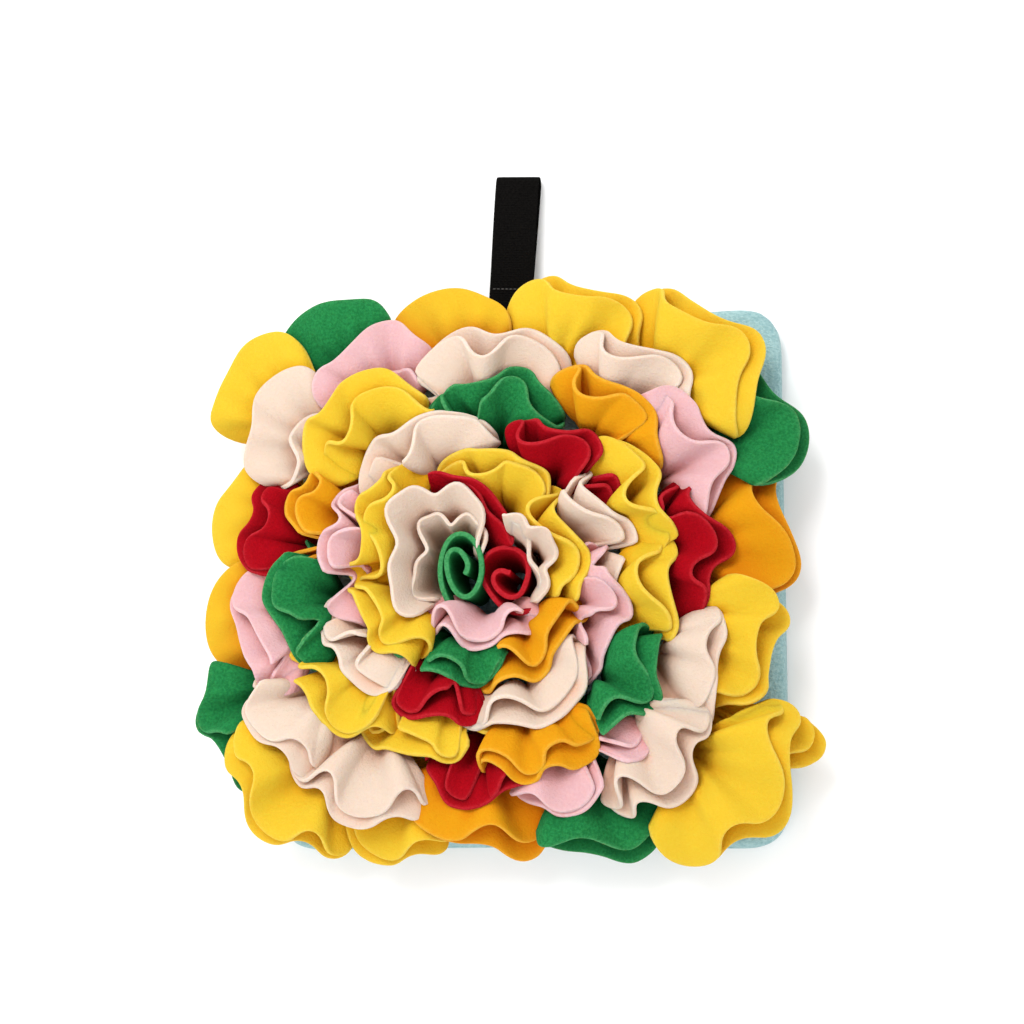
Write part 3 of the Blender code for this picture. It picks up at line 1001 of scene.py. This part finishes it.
def loop_path(step):
    """Points (y, z) of the webbing's middle, from the seam round the fold and back."""
    radius = LOOP_EYE / 2 + WEBBING_THICK / 2
    closed = WEBBING_THICK / 2 + SEAM_GAP / 2
    bend = LOOP_REACH - radius
    shares = np.linspace(0.0, 1.0, round(bend / step) + 1)
    middle = LOOP_SEAM_Z + (LOOP_END_Z - LOOP_SEAM_Z) * shares**1.5
    opening = np.maximum(0.0, (shares * bend - LOOP_STITCHED) / (bend - LOOP_STITCHED))
    half = closed + (radius - closed) * np.sin(opening * math.pi / 2) ** 1.5
    angles = np.arange(step / radius, math.pi, step / radius)
    ahead = np.concatenate((shares * bend, bend + radius * np.sin(angles), (shares * bend)[::-1]))
    height = np.concatenate(
        (middle + half, LOOP_END_Z + radius * np.cos(angles), (middle - half)[::-1])
    )
    return np.stack((ahead, height), axis=1)


def hanging_loop(webbing, thread):
    """Ribbed webbing folded double, with a line of stitches across it near the pad."""
    path = loop_path(RIB_PITCH / 4)
    ahead = np.gradient(path, axis=0)
    ahead /= np.linalg.norm(ahead, axis=1, keepdims=True)
    across = np.stack((-ahead[:, 1], ahead[:, 0]), axis=1)
    run = np.append(0.0, np.cumsum(np.linalg.norm(np.diff(path, axis=0), axis=1)))
    ribs = RIB_DEPTH * np.sin(2 * math.pi * run / RIB_PITCH)
    widths = np.array((-1.0, -0.93, -0.84, 0.0, 0.84, 0.93, 1.0))
    ribbed = np.array((0.0, 0.2, 1.0, 1.0, 1.0, 0.2, 0.0))      # the ribs end at the selvages
    rows = []
    for (y, z), (side_y, side_z), rib in zip(path, across, ribs):
        lift = rib * ribbed
        x = widths * WEBBING_WIDE / 2
        rows.append(np.stack((x, y + side_y * lift, z + side_z * lift), axis=1))
    loop = object_from("webbing_loop", grid_mesh("webbing_loop", np.array(rows)), webbing)
    add_shell(loop, WEBBING_THICK - RIB_DEPTH)
    stitching = stitches("loop_stitching", thread)
    for thing in (loop, stitching):
        thing.rotation_euler.z = -LOOP_LEAN
        thing.location = (
            LOOP_X, PAD_TALL / 2 + SEAM_GAP + WEBBING_WIDE / 2 * math.sin(LOOP_LEAN), 0.0
        )
        bpy.context.view_layer.update()
        thing.data.transform(thing.matrix_world)
        thing.matrix_world = Matrix.Identity(4)
        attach(thing, "root")
    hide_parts("hanging_loop")


def stitches(name, thread):
    """A row of short stitches across the webbing's upper layer."""
    form = bmesh.new()
    pitch = WEBBING_WIDE * STITCHED_WIDE / STITCHES
    size = Matrix.Diagonal((pitch * STITCH_LONG, STITCH_WIDE, STITCH_HIGH, 1.0))
    for number in range(STITCHES):
        x = (number - (STITCHES - 1) / 2) * pitch
        made = bmesh.ops.create_uvsphere(form, u_segments=10, v_segments=8, radius=1.0)
        shape = Matrix.Translation((x, *STITCHED_AT)) @ size
        bmesh.ops.transform(form, matrix=shape, verts=made["verts"])
    mesh = bpy.data.meshes.new(name)
    form.to_mesh(mesh)
    form.free()
    return object_from(name, mesh, thread)


# ---------------------------------------------------------------- stage

EYE_RIGHT = math.radians(10)        # how far the camera is off the mat's upright, to its right
EYE_BELOW = math.radians(8)         # and towards its lower edge
EYE_FAR = 1.25
PIXEL = 0.00055                     # of the mat's face, in metres
FRAME_WIDE = 1024                   # in pixels
MAT_RIGHT, MAT_BELOW = 15, 65       # where the pad's middle is off the frame's, in pixels
FILM_WIDE = 36.0


def camera():
    """Straight above the mat but for a few degrees, as far off as gives its perspective."""
    target = Vector((0.0, 0.0, PAD_THICK))
    back = Vector((math.tan(EYE_RIGHT), -math.tan(EYE_BELOW), 1.0)).normalized()
    data = bpy.data.cameras.new("camera")
    data.sensor_width = FILM_WIDE
    data.lens = FILM_WIDE * EYE_FAR / PIXEL / FRAME_WIDE
    data.clip_start = 0.05
    eye = target + back * EYE_FAR
    upright = (Vector((0, 1, 0)) - back * back.y).normalized()
    right = upright.cross(back)
    aim = target - MAT_RIGHT * PIXEL * right + MAT_BELOW * PIXEL * upright
    back = (eye - aim).normalized()
    upright = (upright - back * upright.dot(back)).normalized()
    right = upright.cross(back)
    thing = bpy.data.objects.new("camera", data)
    bpy.context.scene.collection.objects.link(thing)
    turn = Matrix((right, upright, back)).transposed().to_4x4()
    thing.matrix_world = Matrix.Translation(eye) @ turn
    bpy.context.scene.camera = thing


def lamp(name, place, size, watts):
    """A round soft light that points at the middle of the floor."""
    data = bpy.data.lights.new(name, "AREA")
    data.shape = "DISK"
    data.size = size
    data.energy = watts
    thing = bpy.data.objects.new(name, data)
    bpy.context.scene.collection.objects.link(thing)
    thing.location = place
    thing.rotation_mode = "QUATERNION"
    thing.rotation_quaternion = (-Vector(place)).to_track_quat("-Z", "Y")


def studio():
    """Pale floor, an even sky and two soft lamps."""
    form = bmesh.new()
    bmesh.ops.create_grid(form, x_segments=1, y_segments=1, size=3.0)
    mesh = bpy.data.meshes.new("floor")
    form.to_mesh(mesh)
    form.free()
    floor = object_from("floor", mesh, pale_floor())
    floor.location.z = -0.2 * MM
    world = bpy.data.worlds.new("studio")
    world.use_nodes = True
    sky = world.node_tree.nodes["Background"]
    sky.inputs["Color"].default_value = (1.0, 1.0, 1.0, 1.0)
    sky.inputs["Strength"].default_value = 1.12
    bpy.context.scene.world = world
    lamp("key", (-0.35, 0.7, 1.45), 0.8, 16.0)
    lamp("fill", (-0.4, -1.2, 1.4), 1.6, 8.0)
    bpy.context.scene.view_settings.view_transform = "Standard"


# ---------------------------------------------------------------- making

camera()
studio()
padded_base(base_fleece())
hanging_loop(webbing_black(), thread_black())
sew_pieces({colour: fleece("fleece_" + colour, dye) for colour, dye in DYES.items()})

bpy.context.view_layer.update()
